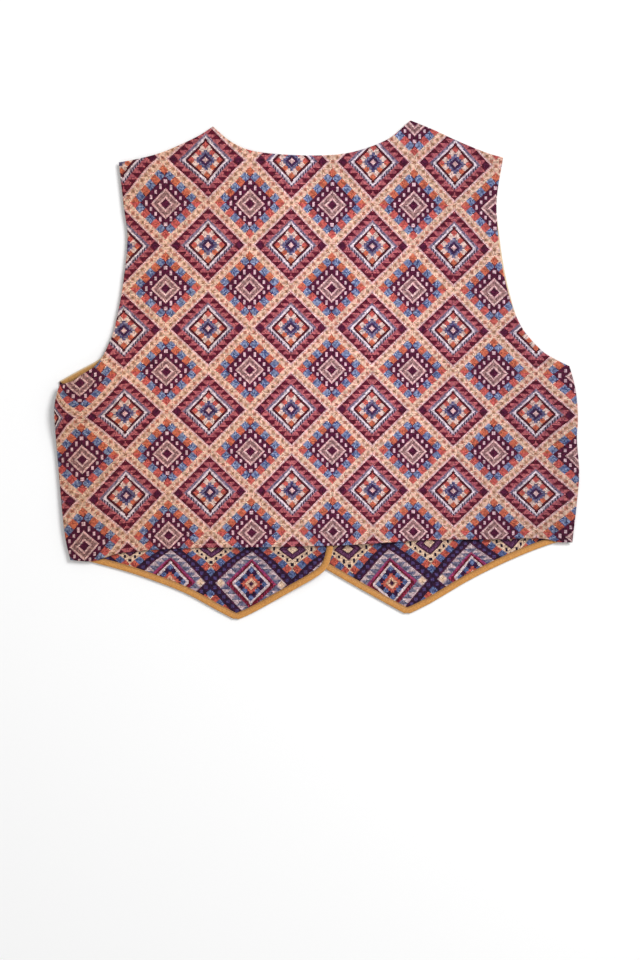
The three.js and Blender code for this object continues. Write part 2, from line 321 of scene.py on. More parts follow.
def along(rows, steps):
    """Evenly spaced points of the Catmull-Rom curve through a table's rows."""
    knots = np.array([rows[0], *rows, rows[-1]], float)
    share = np.linspace(0, 1, CURVE_SAMPLES)[:, None]
    pieces = []
    for before, start, end, after in zip(knots, knots[1:], knots[2:], knots[3:]):
        leave = (end - before) / 2
        arrive = (after - start) / 2
        cubic = 2 * (start - end) + leave + arrive
        square = 3 * (end - start) - 2 * leave - arrive
        pieces.append(((cubic * share + square) * share + leave) * share + start)
    return spaced(np.vstack(pieces), steps)


def joined(*lines):
    return np.vstack([lines[0], *(line[1:] for line in lines[1:])])


def outline(sides):
    """A panel's edge, anticlockwise from its bottom left corner, each point once."""
    rows = [sides["bottom"][:-1], sides["right"][:-1], sides["top"][:0:-1], sides["left"][:0:-1]]
    return np.vstack(rows)


def inset(loop, distance):
    """The loop moved inwards. Points near a corner slide along it, so that they don't pass its mitre."""
    ahead = np.roll(loop, -1, 0) - loop
    lengths = np.linalg.norm(ahead, axis=1, keepdims=True)
    ahead = ahead / lengths
    behind = np.roll(ahead, 1, 0)
    tangent = ahead + behind
    tangent /= np.linalg.norm(tangent, axis=1, keepdims=True)
    normal = np.column_stack([-tangent[:, 1], tangent[:, 0]])
    cross = behind[:, 0] * ahead[:, 1] - behind[:, 1] * ahead[:, 0]
    turn = np.arctan2(cross, (behind * ahead).sum(1))
    moved = loop + normal * (distance / np.cos(turn / 2))[:, None]
    reach = np.cumsum(lengths[:, 0])
    for corner in np.flatnonzero(abs(turn) > CORNER_TURN):
        away = (reach - reach[corner] + reach[-1] / 2) % reach[-1] - reach[-1] / 2
        ease = np.clip(1 - abs(away) / (CORNER_SLIDE * distance), 0, 1)
        slide = np.sign(away) * ease * distance * math.tan(turn[corner] / 2)
        moved += tangent * slide[:, None]
    return moved


def rounded(line, corner):
    """The line with one corner averaged over its neighbours."""
    softened = line.copy()
    for shift in range(-TIP_ROUNDING, TIP_ROUNDING + 1):
        reach = TIP_ROUNDING + 1 - abs(shift)
        softened[corner + shift] = line[corner + shift - reach : corner + shift + reach + 1].mean(0)
    return softened


def patch(sides):
    """A grid of points inside four sides, blended from all of them."""
    bottom, top = sides["bottom"][None], sides["top"][None]
    left, right = sides["left"][:, None], sides["right"][:, None]
    across = np.linspace(0, 1, bottom.shape[1])[None, :, None]
    up = np.linspace(0, 1, left.shape[0])[:, None, None]
    edges = bottom * (1 - up) + top * up + left * (1 - across) + right * across
    low = bottom[:, :1] * (1 - across) + bottom[:, -1:] * across
    high = top[:, :1] * (1 - across) + top[:, -1:] * across
    return edges - low * (1 - up) - high * up


def parted(loop, sides):
    """A loop of an outline's length, parted into four sides again."""
    across = len(sides["bottom"]) - 1
    up = len(sides["left"]) - 1
    closed = np.vstack([loop, loop[:1]])
    return {
        "bottom": closed[: across + 1],
        "right": closed[across : across + up + 1],
        "top": closed[across + up : 2 * across + up + 1][::-1],
        "left": closed[2 * across + up :][::-1],
    }


def back_sides():
    across, shoulder = BACK_CELLS["across"], BACK_CELLS["shoulder"]
    up, side = BACK_CELLS["along"], BACK_CELLS["side"]
    return {
        "bottom": along(BACK_HEM, across),
        "top": joined(
            along(SHOULDER_LEFT, shoulder),
            along(NECK, across - 2 * shoulder),
            along(SHOULDER_RIGHT, shoulder),
        ),
        "left": joined(along(BACK_SIDE_LEFT, side), along(BACK_ARMHOLE_LEFT, up - side)),
        "right": joined(along(BACK_SIDE_RIGHT, side), along(BACK_ARMHOLE_RIGHT, up - side)),
    }


def neckline(lap, shoulder_point):
    """The V neck of a front, bent a little towards the armhole."""
    x, y = shoulder_point
    middle = ((lap + x) / 2 + math.copysign(NECKLINE_BOW, x), (NECKLINE_START + y) / 2)
    return [(lap, NECKLINE_START), middle, shoulder_point]


def front_edges(back_side, hem_outer, hem_inner, armhole, shoulder, lap):
    """A front's four edges, each from the hem up or from the armhole inwards."""
    across, hem = FRONT_CELLS["across"], FRONT_CELLS["hem"]
    up, side, straight = FRONT_CELLS["along"], FRONT_CELLS["side"], FRONT_CELLS["straight"]
    outwards = math.copysign(1, armhole[0][0])
    seam = [(x - outwards * SEAM_INSET, y) for x, y in back_side[1:-1]]
    shoulder_seam = [(x + outwards * SEAM_INSET, y - 2 * SEAM_INSET) for x, y in shoulder[1:]]
    front_edge = [hem_inner[-1], (lap, NECKLINE_START)]
    v_neck = neckline(lap, shoulder_seam[-1])
    return {
        "hem": joined(along(hem_outer, hem), along(hem_inner, across - hem)),
        "shoulder": along([armhole[-1], *shoulder_seam], across),
        "outer": joined(along([hem_outer[0], *seam, armhole[0]], side), along(armhole, up - side)),
        "inner": joined(along(front_edge, straight), along(v_neck, up - straight)),
    }


def left_front_sides():
    edges = front_edges(
        BACK_SIDE_LEFT, HEM_LEFT_OUTER, HEM_LEFT_INNER, FRONT_ARMHOLE_LEFT, SHOULDER_LEFT, LAP_LEFT
    )
    return {"bottom": edges["hem"], "top": edges["shoulder"], "left": edges["outer"], "right": edges["inner"]}


def right_front_sides():
    """The right front's armhole is on its other side, so its hem and shoulder run the other way."""
    edges = front_edges(
        BACK_SIDE_RIGHT,
        HEM_RIGHT_OUTER,
        HEM_RIGHT_INNER,
        FRONT_ARMHOLE_RIGHT,
        SHOULDER_RIGHT[::-1],
        LAP_RIGHT,
    )
    return {
        "bottom": edges["hem"][::-1],
        "top": edges["shoulder"][::-1],
        "left": edges["inner"],
        "right": edges["outer"],
    }


# ---------------------------------------------------------------------------------------------------
# Heights.
def tree_of(piece):
    """A tree of a mesh's faces, for rays to be cast on."""
    points = [vertex.co.copy() for vertex in piece.data.vertices]
    return BVHTree.FromPolygons(points, [tuple(face.vertices) for face in piece.data.polygons])


def dropped(tree, points):
    """The height of what lies under each point, in millimetres. A point beside it takes its neighbours'."""
    down = Vector((0, 0, -1))
    flat = points.reshape(-1, 2)
    heights = np.full(len(flat), np.nan)
    for index, (x, y) in enumerate(flat):
        hit = tree.ray_cast(Vector((x * MM, y * MM, RAY_HEIGHT)), down)[0]
        if hit is not None:
            heights[index] = hit.z / MM
    heights = np.atleast_2d(heights.reshape(points.shape[:-1]))
    while np.isnan(heights).any():
        around = np.pad(heights, 1, constant_values=np.nan)
        near = np.stack([around[:-2, 1:-1], around[2:, 1:-1], around[1:-1, :-2], around[1:-1, 2:]])
        known = ~np.isnan(near)
        mean = np.where(known, near, 0).sum(0) / np.maximum(known.sum(0), 1)
        mean[~known.any(0)] = np.nan
        heights = np.where(np.isnan(heights), mean, heights)
    return heights.reshape(points.shape[:-1])


def smoothed(heights):
    """Heights on a grid without the CAD's facets."""
    for _ in range(SMOOTHING):
        around = np.pad(heights, 1, mode="edge")
        near = around[:-2, 1:-1] + around[2:, 1:-1] + around[1:-1, :-2] + around[1:-1, 2:]
        heights = (near + 4 * heights) / 8
    return heights


def creased(points, rows):
    """The height that a table of creases adds at each point."""
    x, y = points[..., 0], points[..., 1]
    total = np.zeros(points.shape[:-1])
    for middle_x, middle_y, length, width, turn, height in rows:
        turn = math.radians(turn)
        lengthwise = ((x - middle_x) * math.cos(turn) + (y - middle_y) * math.sin(turn)) / length
        crosswise = ((y - middle_y) * math.cos(turn) - (x - middle_x) * math.sin(turn)) / width
        total += height * np.exp(-lengthwise * lengthwise - crosswise * crosswise)
    return total


def unevenness(points, size, seed):
    """Smooth noise from -1 to 1, with bumps of about the given size."""
    flat = points.reshape(-1, 2) / size
    values = [noise.noise(Vector((x, y, seed))) for x, y in flat]
    return np.array(values).reshape(points.shape[:-1])


def distance_from(loop, points):
    """How far each point of a grid lies from an outline."""
    flat = points.reshape(-1, 2)
    nearest = [np.sqrt(((row[None] - loop) ** 2).sum(1).min()) for row in flat]
    return np.array(nearest).reshape(points.shape[:-1])


def eased(values, start, end):
    """A smooth step from 0 at the start to 1 at the end."""
    share = np.clip((values - start) / (end - start), 0, 1)
    return share * share * (3 - 2 * share)


# ---------------------------------------------------------------------------------------------------
# Where the woven repeat lies.
# The back's grain has moved from straight. The tables below give its shifts across and up.
BACK_DIAMOND = (-26.1, 41.8)  # the centre of a large diamond
GRAIN_SPAN = (250, 240)  # millimetres in one unit of u, across, and of v, up
DRIFT_ACROSS = (0, 0.8, -2.3, 2.5, -2.3)  # for u, v, u times v, u squared and v squared
DRIFT_UP = (0.5, 0, 4.8, 6.6, -3.9)
SWAY_ACROSS = (0.9, 25, 42)  # a shift to either side of a middle, and how far it takes to build up
SWAY_UP = (0.75, 0, 60)
ROLL = 5  # at the left edge the cloth rolls over, and its pattern is squeezed
ROLL_SPAN = (-243, -255)
ROLL_FADE = (-50, -80)  # the heights at which the roll fades out

# Smooth steps: the shift across and up, and where the step starts and ends in X and in Y.
GRAIN_STEPS = [
    (0.9, 0, (-95, -160), None),
    (1.7, 0, (-180, -235), None),
    (-2.5, 0, (175, 235), None),
    (-3.4, 0, (228, 250), None),
    (0, 2.0, (-180, -230), (-40, -90)),
    (0, -1.2, (60, 110), (90, 150)),
    (0, 3.6, (213, 245), (-125, -160)),
    (0, -1.6, (190, 212), (-125, -160)),
    (3.0, 0, (-60, -95), (180, 205)),
    (0, -5.0, (-125, -180), (150, 195)),
]

# Bumps: the shift across and up, the middle, and the reach in X and in Y.
GRAIN_BUMPS = [
    (3.0, 0, -247, -125, 14, 20),
    (3.5, 0, -247, -30, 13, 24),
    (0, 1.1, 0, 110, 70, 70),
    (0, 5.0, -238, -184, 44, 44),
    (0, 8.3, -230, -13, 30, 30),
]
PULL_REACH = 14  # how far from the back's hem a front's cloth is pulled down


def swayed(values, shift, middle, reach):
    return shift * np.tanh((values - middle) / reach)


def stepped(values, ends):
    return 1 if ends is None else eased(values, *ends)


def back_repeats(points):
    """The chart's place at each point of the back."""
    x, y = points[..., 0], points[..., 1]
    u, v = x / GRAIN_SPAN[0], y / GRAIN_SPAN[1]
    terms = np.stack([u, v, u * v, u * u, v * v], -1)
    across = terms @ np.array(DRIFT_ACROSS) + swayed(x, *SWAY_ACROSS)
    up = terms @ np.array(DRIFT_UP) + swayed(y, *SWAY_UP)
    for shift_across, shift_up, ends_x, ends_y in GRAIN_STEPS:
        share = stepped(x, ends_x) * stepped(y, ends_y)
        across += shift_across * share
        up += shift_up * share
    for shift_across, shift_up, middle_x, middle_y, reach_x, reach_y in GRAIN_BUMPS:
        share = np.exp(-(((x - middle_x) / reach_x) ** 2) - ((y - middle_y) / reach_y) ** 2)
        across += shift_across * share
        up += shift_up * share
    rolled = np.clip((x - ROLL_SPAN[0]) / (ROLL_SPAN[1] - ROLL_SPAN[0]), 0, 1)
    across -= ROLL * rolled**2 * (1 - eased(y, *ROLL_FADE))
    return (points + np.stack([across, up], -1) - BACK_DIAMOND) / REPEAT


def front_repeats(diamond, across, up, pull, hem):
    """A function for the chart's place on a front, from a diamond's centre, the two directions of its
    repeat, and how far the cloth is pulled down where it goes under the back's hem."""
    axes = np.linalg.inv(np.array([across, up]))

    def repeats(points):
        pulled = points.copy()
        pulled[..., 1] += pull * eased(points[..., 1], hem - PULL_REACH, hem)
        return (pulled - diamond) @ axes

    return repeats


LEFT_REPEATS = front_repeats(
    diamond=(-143.6, -206.1), across=(79.3, -2.3), up=(1.9, 80.1), pull=4.4, hem=-174
)
RIGHT_REPEATS = front_repeats(
    diamond=(73.0, -207.6), across=(79.4, 6.8), up=(-6.7, 80.1), pull=3.0, hem=-171
)


# ---------------------------------------------------------------------------------------------------
# Meshes.
def new_piece(name, points, faces, materials, face_materials, maps):
    """A smooth mesh piece from points in millimetres. Each map gives a place for each face corner."""
    mesh = bpy.data.meshes.new(name)
    mesh.from_pydata((points * MM).tolist(), [], faces.tolist())
    for map_name, places in maps.items():
        layer = mesh.uv_layers.new(name=map_name)
        layer.data.foreach_set("uv", places.astype(np.float32).ravel())
    for material in materials:
        mesh.materials.append(material)
    mesh.polygons.foreach_set("material_index", face_materials.astype(np.int32))
    mesh.polygons.foreach_set("use_smooth", np.ones(len(faces), bool))
    mesh.update()
    piece = bpy.data.objects.new(name, mesh)
    bpy.context.scene.collection.objects.link(piece)
    return piece


def quads(rows, columns, first=0):
    """The faces of a grid of points, facing up."""
    numbers = first + np.arange(rows * columns).reshape(rows, columns)
    corners = [numbers[:-1, :-1], numbers[:-1, 1:], numbers[1:, 1:], numbers[1:, :-1]]
    return np.stack(corners, -1).reshape(-1, 4)


def edge_numbers(rows, columns):
    """The numbers of a grid's outer points, anticlockwise from the bottom left corner."""
    numbers = np.arange(rows * columns).reshape(rows, columns)
    return np.concatenate([numbers[0, :-1], numbers[:-1, -1], numbers[-1, :0:-1], numbers[:0:-1, 0]])


def rim_rings(edge_points, outward):
    """The rings of points round a panel's half round edge, from the top down."""
    rings = []
    for angle in np.radians(RIM_TURNS):
        ring = edge_points - (0, 0, CLOTH / 2 * (1 - math.sin(angle)))
        ring[:, :2] += outward * math.cos(angle)
        rings.append(ring)
    return rings


def banded(lines):
    """What lies at the four corners of each face between closed lines, each below the one before it."""
    bands = []
    for high, low in zip(lines, lines[1:]):
        bands.append(np.stack([high, low, np.roll(low, -1, 0), np.roll(high, -1, 0)], 1))
    return np.vstack(bands)


def shell(name, sides, heights_of, repeats, materials, rim_material, islands_of):
    """A panel of cloth: an upper and a lower grid, and a half round rim between them. The materials are
    the upper and the lower one, of which the rim has one by its number."""
    loop = outline(sides)
    inner = inset(loop, CLOTH / 2)
    outward = loop - inner
    grid = patch(parted(inner, sides))
    rows, columns = grid.shape[:2]
    upper = np.column_stack([grid.reshape(-1, 2), heights_of(grid, loop).ravel()])
    edge = edge_numbers(rows, columns)
    rings = rim_rings(upper[edge], outward)
    points = np.vstack([upper, upper - (0, 0, CLOTH), *rings])
    ring_numbers = 2 * len(upper) + np.arange(len(rings) * len(edge)).reshape(len(rings), -1)
    strands = [edge, *ring_numbers, len(upper) + edge]
    upper_faces = quads(rows, columns)
    lower_faces = quads(rows, columns, len(upper))[:, ::-1]
    rim_faces = banded(strands)
    faces = np.vstack([upper_faces, lower_faces, rim_faces])
    kinds = np.repeat([0, 1, rim_material], [len(upper_faces), len(lower_faces), len(rim_faces)])

    islands = islands_of(loop)
    on_upper, on_lower = islands(points[:, :2])
    steps = np.linspace(0, 0.5 * math.pi * CLOTH, len(strands))
    on_rim = banded([islands(inner + outward * (2 / CLOTH) * step)[0] for step in steps])
    baked = [on_upper[upper_faces.ravel()], on_lower[lower_faces.ravel()], on_rim.reshape(-1, 2)]
    maps = {"cloth": repeats(points[:, :2])[faces.ravel()], "OFBake": np.vstack(baked)}
    return new_piece(name, points, faces, materials, kinds, maps)


# How the panels lie on the baking map, as shares of its side.
ISLAND_BORDER = 3  # millimetres round a panel, which its rim takes
STACK_MARGIN = 0.005
STACK_LOWER = (0.845, 0.145)  # where the back's lower grid starts, and its height there
PAIR_WIDTH = 0.485  # of each grid of a front
PAIR_MARGIN = (0.0075, 0.01)
PAIR_SHIFT = (0.5, 0)


def stacked_islands(loop):
    """The upper grid over nearly all of the map, and the hidden lower one squeezed above it."""
    low, high = loop.min(0) - ISLAND_BORDER, loop.max(0) + ISLAND_BORDER
    scale = (1 - 2 * STACK_MARGIN) / (high[0] - low[0])
    start, height = STACK_LOWER

    def islands(points):
        upper = (points - low) * scale + STACK_MARGIN
        lower = upper * (1, height / ((high[1] - low[1]) * scale)) + (0, start)
        return upper, lower

    return islands


def paired_islands(loop):
    """The two grids of a front side by side."""
    low, high = loop.min(0) - ISLAND_BORDER, loop.max(0) + ISLAND_BORDER
    scale = PAIR_WIDTH / (high[0] - low[0])

    def islands(points):
        upper = (points - low) * scale + PAIR_MARGIN
        return upper, upper + PAIR_SHIFT

    return islands


def lofted_heights(node, creases, loft):
    """A function for a panel's heights: the CAD's without its facets, with the loft and the creases."""

    def heights(grid, loop):
        ground = smoothed(dropped(tree_of(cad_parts[node]), grid))
        lift = loft["mean"] + creased(grid, creases)
        for height, size, seed in loft["bumps"]:
            lift = lift + height * unevenness(grid, size, seed)
        return ground + eased(distance_from(loop, grid), LOFT_START, loft["whole"]) * lift

    return heights


# A facing's section: places across it from its outer edge, as shares of its width, and heights as
# shares of its crown. It rolls round the outer edge, and a seam presses it down near the inner one.
FACING_TOP = [
    (-0.04, -0.35),
    (0.00, 0.40),
    (0.07, 0.78),
    (0.18, 0.97),
    (0.32, 1.00),
    (0.46, 0.95),
    (0.58, 0.86),
    (0.69, 0.72),
    (0.78, 0.44),
    (0.84, 0.58),
    (0.92, 0.10),
]
FACING_UNDER = [(0.90, 0.0), (0.50, 0.0), (0.04, 0.0), (-0.03, -0.7)]
SEAM_PLACE = 8 / 15  # the seam lies eight of the section's fifteen steps round it
STRIP_MARGIN = 0.01  # round a strip on its baking map


def strip(name, outer, inner, ground, material):
    """A facing and its length: its section swept between two lines, on a tree of what it lies on."""
    section = np.array(FACING_TOP + FACING_UNDER)
    across = section[:, 0][None, :, None]
    plan = outer[:, None] * (1 - across) + inner[:, None] * across
    centre = (outer + inner) / 2
    base = dropped(ground, centre[None])[0]
    heights = np.maximum(base[:, None] + FACING_GAP + section[:, 1] * FACING_HEIGHT, LOWEST)
    points = np.concatenate([plan, heights[..., None]], -1)
    rows, columns = points.shape[:2]
    numbers = np.arange(rows * columns).reshape(rows, columns)
    following = np.roll(numbers, -1, 1)
    faces = np.stack([numbers[:-1], numbers[1:], following[1:], following[:-1]], -1).reshape(-1, 4)

    lengths = np.concatenate([[0], np.cumsum(np.linalg.norm(np.diff(centre, axis=0), axis=1))])
    around = np.linspace(0, 1, columns + 1)
    places = np.stack(np.broadcast_arrays(lengths[:, None] / lengths[-1], around[None]), -1)
    corners = np.stack([places[:-1, :-1], places[1:, :-1], places[1:, 1:], places[:-1, 1:]], -2)
    corners = corners.reshape(-1, 2)
    maps = {
        "cloth": corners * (lengths[-1], 1),
        "OFBake": STRIP_MARGIN + (1 - 2 * STRIP_MARGIN) * corners,
    }
    piece = new_piece(name, points.reshape(-1, 3), faces, [material], np.zeros(len(faces)), maps)
    close_ends(piece, columns, rows)
    return piece, lengths[-1]


def close_ends(piece, columns, rows):
    """Flat caps at a swept strip's two ends."""
    built = bmesh.new()
    built.from_mesh(piece.data)
    built.verts.ensure_lookup_table()
    first = [built.verts[index] for index in range(columns)]
    last = [built.verts[(rows - 1) * columns + index] for index in range(columns)]
    built.faces.new(first)
    built.faces.new(last[::-1])
    bmesh.ops.recalc_face_normals(built, faces=built.faces)
    built.to_mesh(piece.data)
    built.free()


# ---------------------------------------------------------------------------------------------------
# Materials.
FACE, REVERSE = 0, 2  # where each side's two colours start in a row of YARNS
WOVEN_FINISH = {"Roughness": 0.85, "Specular IOR Level": 0.18, "Sheen Weight": 0.03}
SATEEN_FINISH = {"Roughness": 0.55, "Sheen Weight": 0.1}
FLOOR_FINISH = {"Roughness": 0.9}

# The woven cloth's relief, along and beside its threads and by chance, and what changes its light:
# RELIEF_LIGHT paints shade between the threads into the colour, and the floats' and cells' tone differs at
# random.
RELIEF_ALONG = 0.6
RELIEF_BESIDE = 0.25
RELIEF_CHANCE = 0.5
FLOAT_LENGTH = 3.0  # cells under one long thread
FLOAT_SLACK = 0.4
RELIEF_LIGHT = 0.1
FLOAT_LIGHT = 0.2
MEAN_LIGHT = 0.62
BACK_MIDDLE = (0.3, -0.4)  # the middle of the back, in repeats from a diamond's centre
MIDDLE_LIGHT = 1.03
SIDE_SHADE = (0.03, 0.02)  # painted shade that darkens the colour, for each squared repeat across and up from the middle
WARM_LIGHT_RATE = 0.32  # of a painted warm cast of light, for each repeat to the left of it
WARM_LIGHT_TINT = (1.06, 0.98, 0.85)
WOVEN_BUMP = {"Distance": 0.00012, "Strength": 0.6}

# The facings' sateen. The seam's and the fold's places and reaches are shares of the way round.
THREAD_PITCH = 0.6  # millimetres between its diagonal threads
PATCH_RATE = 1.6  # patches of one tone in a millimetre
WRINKLES = (0.9, 0.37)  # turns of its two waves, in radians for each millimetre
WRINKLE_CHANCE = 1.5
SEAM_REACH = 0.05
SEAM_SHADE = 0.3
STITCH_REACH = 0.022
STITCH = 2.8  # millimetres from one stitch to the next
STITCH_SHARE = 0.36  # of that, on each side of a stitch's middle
STITCH_LIGHT = 0.42
STITCH_HEIGHT = 2.0
WRINKLE_HEIGHT = 0.5
THREAD_HEIGHT = 0.1
SATEEN_RELIEF_LIGHT = 0.04
FOLD_SHARPNESS = 11.0
FOLD_MOST = 0.85
INNER_START = 0.26  # from here to the inner edge painted shade makes it darker
INNER_DARKENING = -0.9
OUTER_LIGHT = 1.02
SATEEN_BUMP = {"Distance": 0.0002, "Strength": 0.5}


class Number:
    """A number that varies over a surface. Arithmetic with it adds Math nodes to its material."""

    def __init__(self, tree, socket):
        self.tree = tree
        self.socket = socket

    def math(self, operation, *terms):
        node = self.tree.nodes.new("ShaderNodeMath")
        node.operation = operation
        for place, term in zip(node.inputs, (self, *terms)):
            plug(self.tree, term, place)
        return Number(self.tree, node.outputs[0])

    def __add__(self, other):
        return self.math("ADD", other)

    def __sub__(self, other):
        return self.math("SUBTRACT", other)

    def __rsub__(self, other):
        return self.math("MULTIPLY_ADD", -1.0, other)

    def __mul__(self, other):
        return self.math("MULTIPLY", other)

    def __truediv__(self, other):
        return self.math("DIVIDE", other)

    def __lt__(self, other):
        return self.math("LESS_THAN", other)

    def __gt__(self, other):
        return self.math("GREATER_THAN", other)

    def __and__(self, other):
        return self.math("MULTIPLY", other)

    def __abs__(self):
        return self.math("ABSOLUTE")

    def round(self):
        return self.math("ROUND")

    def clamped(self, low, high):
        return self.math("MAXIMUM", low).math("MINIMUM", high)

    def wrapped(self, reach):
        return self.math("WRAP", reach, -reach)

    def odd(self):
        """1 where a whole number is odd, and 0 where it is even."""
        return abs(self.math("WRAP", 1.0, -1.0)) > 0.5

    def choose(self, yes, no):
        """One value where this mask is 1, and another one where it is 0."""
        node = self.tree.nodes.new("ShaderNodeMix")
        plug(self.tree, self, node.inputs[0])
        plug(self.tree, no, node.inputs[2])
        plug(self.tree, yes, node.inputs[3])
        return Number(self.tree, node.outputs[0])


def plug(tree, value, place):
    if isinstance(value, Number):
        tree.links.new(value.socket, place)
    else:
        place.default_value = value


def linear(colour):
    """An 8-bit sRGB colour as a shader's linear one."""
    shares = [channel / 255 for channel in colour]
    return [c / 12.92 if c <= 0.04045 else ((c + 0.055) / 1.055) ** 2.4 for c in shares] + [1.0]


def layered(base, *layers):
    """The value of the last layer whose mask is 1, or else the base. A yarn's name stands for its number."""
    for mask, value in layers:
        base = mask.choose(yarn_number(value), yarn_number(base))
    return base


def yarn_number(yarn):
    return float(list(YARNS).index(yarn)) if isinstance(yarn, str) else yarn


def ringed(ring, rings):
    """The layers of rings inside each other, by the number that says how far out a cell is."""
    return [(ring < reach, yarn) for reach, yarn in rings]


def woven_chart(across, up):
    """The number of the yarn that shows in each cell, in cells from a large diamond's centre."""
    dx, dy = across.wrapped(HALF), up.wrapped(HALF)
    ax, ay = abs(dx), abs(dy)
    around = ax + ay
    off = abs(around - HALF)
    step = (ax / DOT_PITCH).round()
    aside, above = ax - step * DOT_PITCH, ay - (HALF - step * DOT_PITCH)
    from_dot = aside * aside + above * above
    chance = cell_noise(across.tree, (across / DOT_PITCH).round(), (up / DOT_PITCH).round())
    other_up = (up - HALF).wrapped(HALF)
    on_edge = abs(off - BAND_REACH + BAND_EDGE) < (around < HALF) * BAND_EDGE
    return layered(
        large_diamond(ax, ay, dy, around),
        (around > HALF, small_diamond(HALF - ax, other_up, CELLS - around)),
        (off < (around > HALF).choose(BAND_FAR_REACH, BAND_REACH), "ground"),
        (on_edge, "edge"),
        ((from_dot < DOT_SIZE) & (chance > DOT_SHARE), "dot"),
        ((from_dot < DOT_SIZE) & (chance < DOT_SHARE), "dot_two"),
        (from_dot < DOT_CORE_SIZE, "dot_core"),
    )


def large_diamond(ax, ay, dy, around):
    """The diamond of triangles, a white line and a rosette in a checked square."""
    rows = (dy > 0.0).choose(ay / TRIANGLE_PITCH, (ay - LOWER_START) / LOWER_PITCH)
    share = rows - rows.math("FLOOR")
    block = ((ax - ay * TALLER) / CHECK_PITCH).round()
    ring = ax + ay * TALLER
    below = dy < 0.0
    inside = around < TRIANGLE_START
    checked = ring < CHECK_REACH
    return layered(
        "maroon",
        (share > (around - TRIANGLE_START) / (TRIANGLE_END - TRIANGLE_START), "rose"),
        (abs(ax - TIP_PLACE) + ay < TIP_REACH, "plum"),
        (inside, "tooth"),
        (inside & below, "dark_tooth"),
        (inside & below & ax.odd(), "pale_tooth"),
        *ringed(ring, LINE_RINGS),
        (checked, "coral"),
        (checked & below, "orange"),
        (checked & block.odd(), "square"),
        (around < ax.odd() * 1.0 + ROSETTE_REACH, "dark_blue"),
        *ringed(around, ROSETTE_RINGS),
    )


def small_diamond(bx, by, around):
    """The diamond of a ringed square, upright spots and a border of small squares in two colours."""
    along_edge = bx - abs(by) + SQUARE_RADIUS
    step = (along_edge / (2 * SQUARE_PITCH)).round()
    aside = abs(along_edge - step * 2 * SQUARE_PITCH)
    inside = (aside < SQUARE_REACH[0]) & (abs(around - SQUARE_RADIUS) < SQUARE_REACH[1])
    spot = (bx / SPOT_PITCH).round()
    beside = abs(bx - spot * SPOT_PITCH)
    level = abs(abs(by + SPOTS_DROP) - (SPOT_RADIUS - spot * SPOT_RISE))
    on_spot = (beside < SPOT_REACH[0]) & (level < SPOT_REACH[1]) & (around < SPOTS_END)
    return layered(
        "plum",
        (around > SQUARE_RADIUS, "ground"),
        (inside, "coral"),
        (inside & (by > 0.0), "orange"),
        (inside & step.odd(), "blue"),
        (on_spot, "white_spot"),
        *ringed(bx + abs(by + RINGS_DROP), SQUARE_RINGS),
    )


def yarn_ramp(tree, share, side):
    """The colour of a yarn on one side: 0 and 1 on the right side, 2 and 3 on the reverse."""
    ramp = tree.nodes.new("ShaderNodeValToRGB")
    ramp.color_ramp.interpolation = "CONSTANT"
    stops = ramp.color_ramp.elements
    colours = [row[side] for row in YARNS.values()]
    stops.remove(stops[1])
    stops[0].position = 0
    stops[0].color = linear(colours[0])
    for index, colour in enumerate(colours[1:], 1):
        stops.new(index / len(colours)).color = linear(colour)
    tree.links.new(share.socket, ramp.inputs[0])
    return ramp.outputs["Color"]


def jacquard(name, side, speckle):
    """The woven cloth, seen from one side. Its cells' light differs by the speckle."""
    material, tree, shader = plain_material(name, WOVEN_FINISH)
    across, up = map_coordinates(tree, "cloth")
    from_middle, from_centre = across - BACK_MIDDLE[0], up - BACK_MIDDLE[1]
    across, up = across * CELLS, up * CELLS
    cell_across, cell_up = across.round(), up.round()
    share = (woven_chart(cell_across, cell_up) + 0.5) / float(len(YARNS))
    chance = cell_noise(tree, cell_across, cell_up)
    colour = mixed_colour(tree, chance, yarn_ramp(tree, share, side), yarn_ramp(tree, share, side + 1))
    over = ((up - cell_up) * (2 * math.pi)).math("COSINE")
    beside = ((across - cell_across) * (4 * math.pi)).math("COSINE")
    relief = over * RELIEF_ALONG + beside * RELIEF_BESIDE + chance * RELIEF_CHANCE
    thread = (cell_across / FLOAT_LENGTH + chance * FLOAT_SLACK).round()
    float_chance = cell_noise(tree, thread, cell_up + 0.5)
    cell_chance = cell_noise(tree, cell_across + 0.3, cell_up - 0.3)
    # Painted shade from the relief between the threads, with tone that differs at random by float and by
    # cell.
    light = relief * RELIEF_LIGHT + float_chance * FLOAT_LIGHT + cell_chance * speckle
    light = light + (MEAN_LIGHT - speckle / 2)
    # Painted shade: the colour darkens away from the middle of the back, across and up.
    painted_side_shade = from_middle * from_middle * SIDE_SHADE[0] + from_centre * from_centre * SIDE_SHADE[1]
    colour = scaled_colour(tree, colour, light * (MIDDLE_LIGHT - painted_side_shade))
    # Painted light: a warm cast of light on the cloth that grows towards its left.
    painted_warm_light = (from_middle * -WARM_LIGHT_RATE).math("MAXIMUM", 0.0)
    colour = mixed_colour(tree, painted_warm_light, colour, tinted_colour(tree, colour, WARM_LIGHT_TINT))
    tree.links.new(colour, shader.inputs["Base Color"])
    add_bump(tree, shader, relief, WOVEN_BUMP)
    return material


def plain_material(name, finish):
    """A material with its node tree and its shader, which has the finish on its own sockets."""
    material = bpy.data.materials.new(name)
    material.use_nodes = True
    tree = material.node_tree
    shader = tree.nodes["Principled BSDF"]
    for socket, value in finish.items():
        shader.inputs[socket].default_value = value
    return material, tree, shader


def map_coordinates(tree, map_name):
    source = tree.nodes.new("ShaderNodeUVMap")
    source.uv_map = map_name
    parts = tree.nodes.new("ShaderNodeSeparateXYZ")
    tree.links.new(source.outputs[0], parts.inputs[0])
    return Number(tree, parts.outputs[0]), Number(tree, parts.outputs[1])


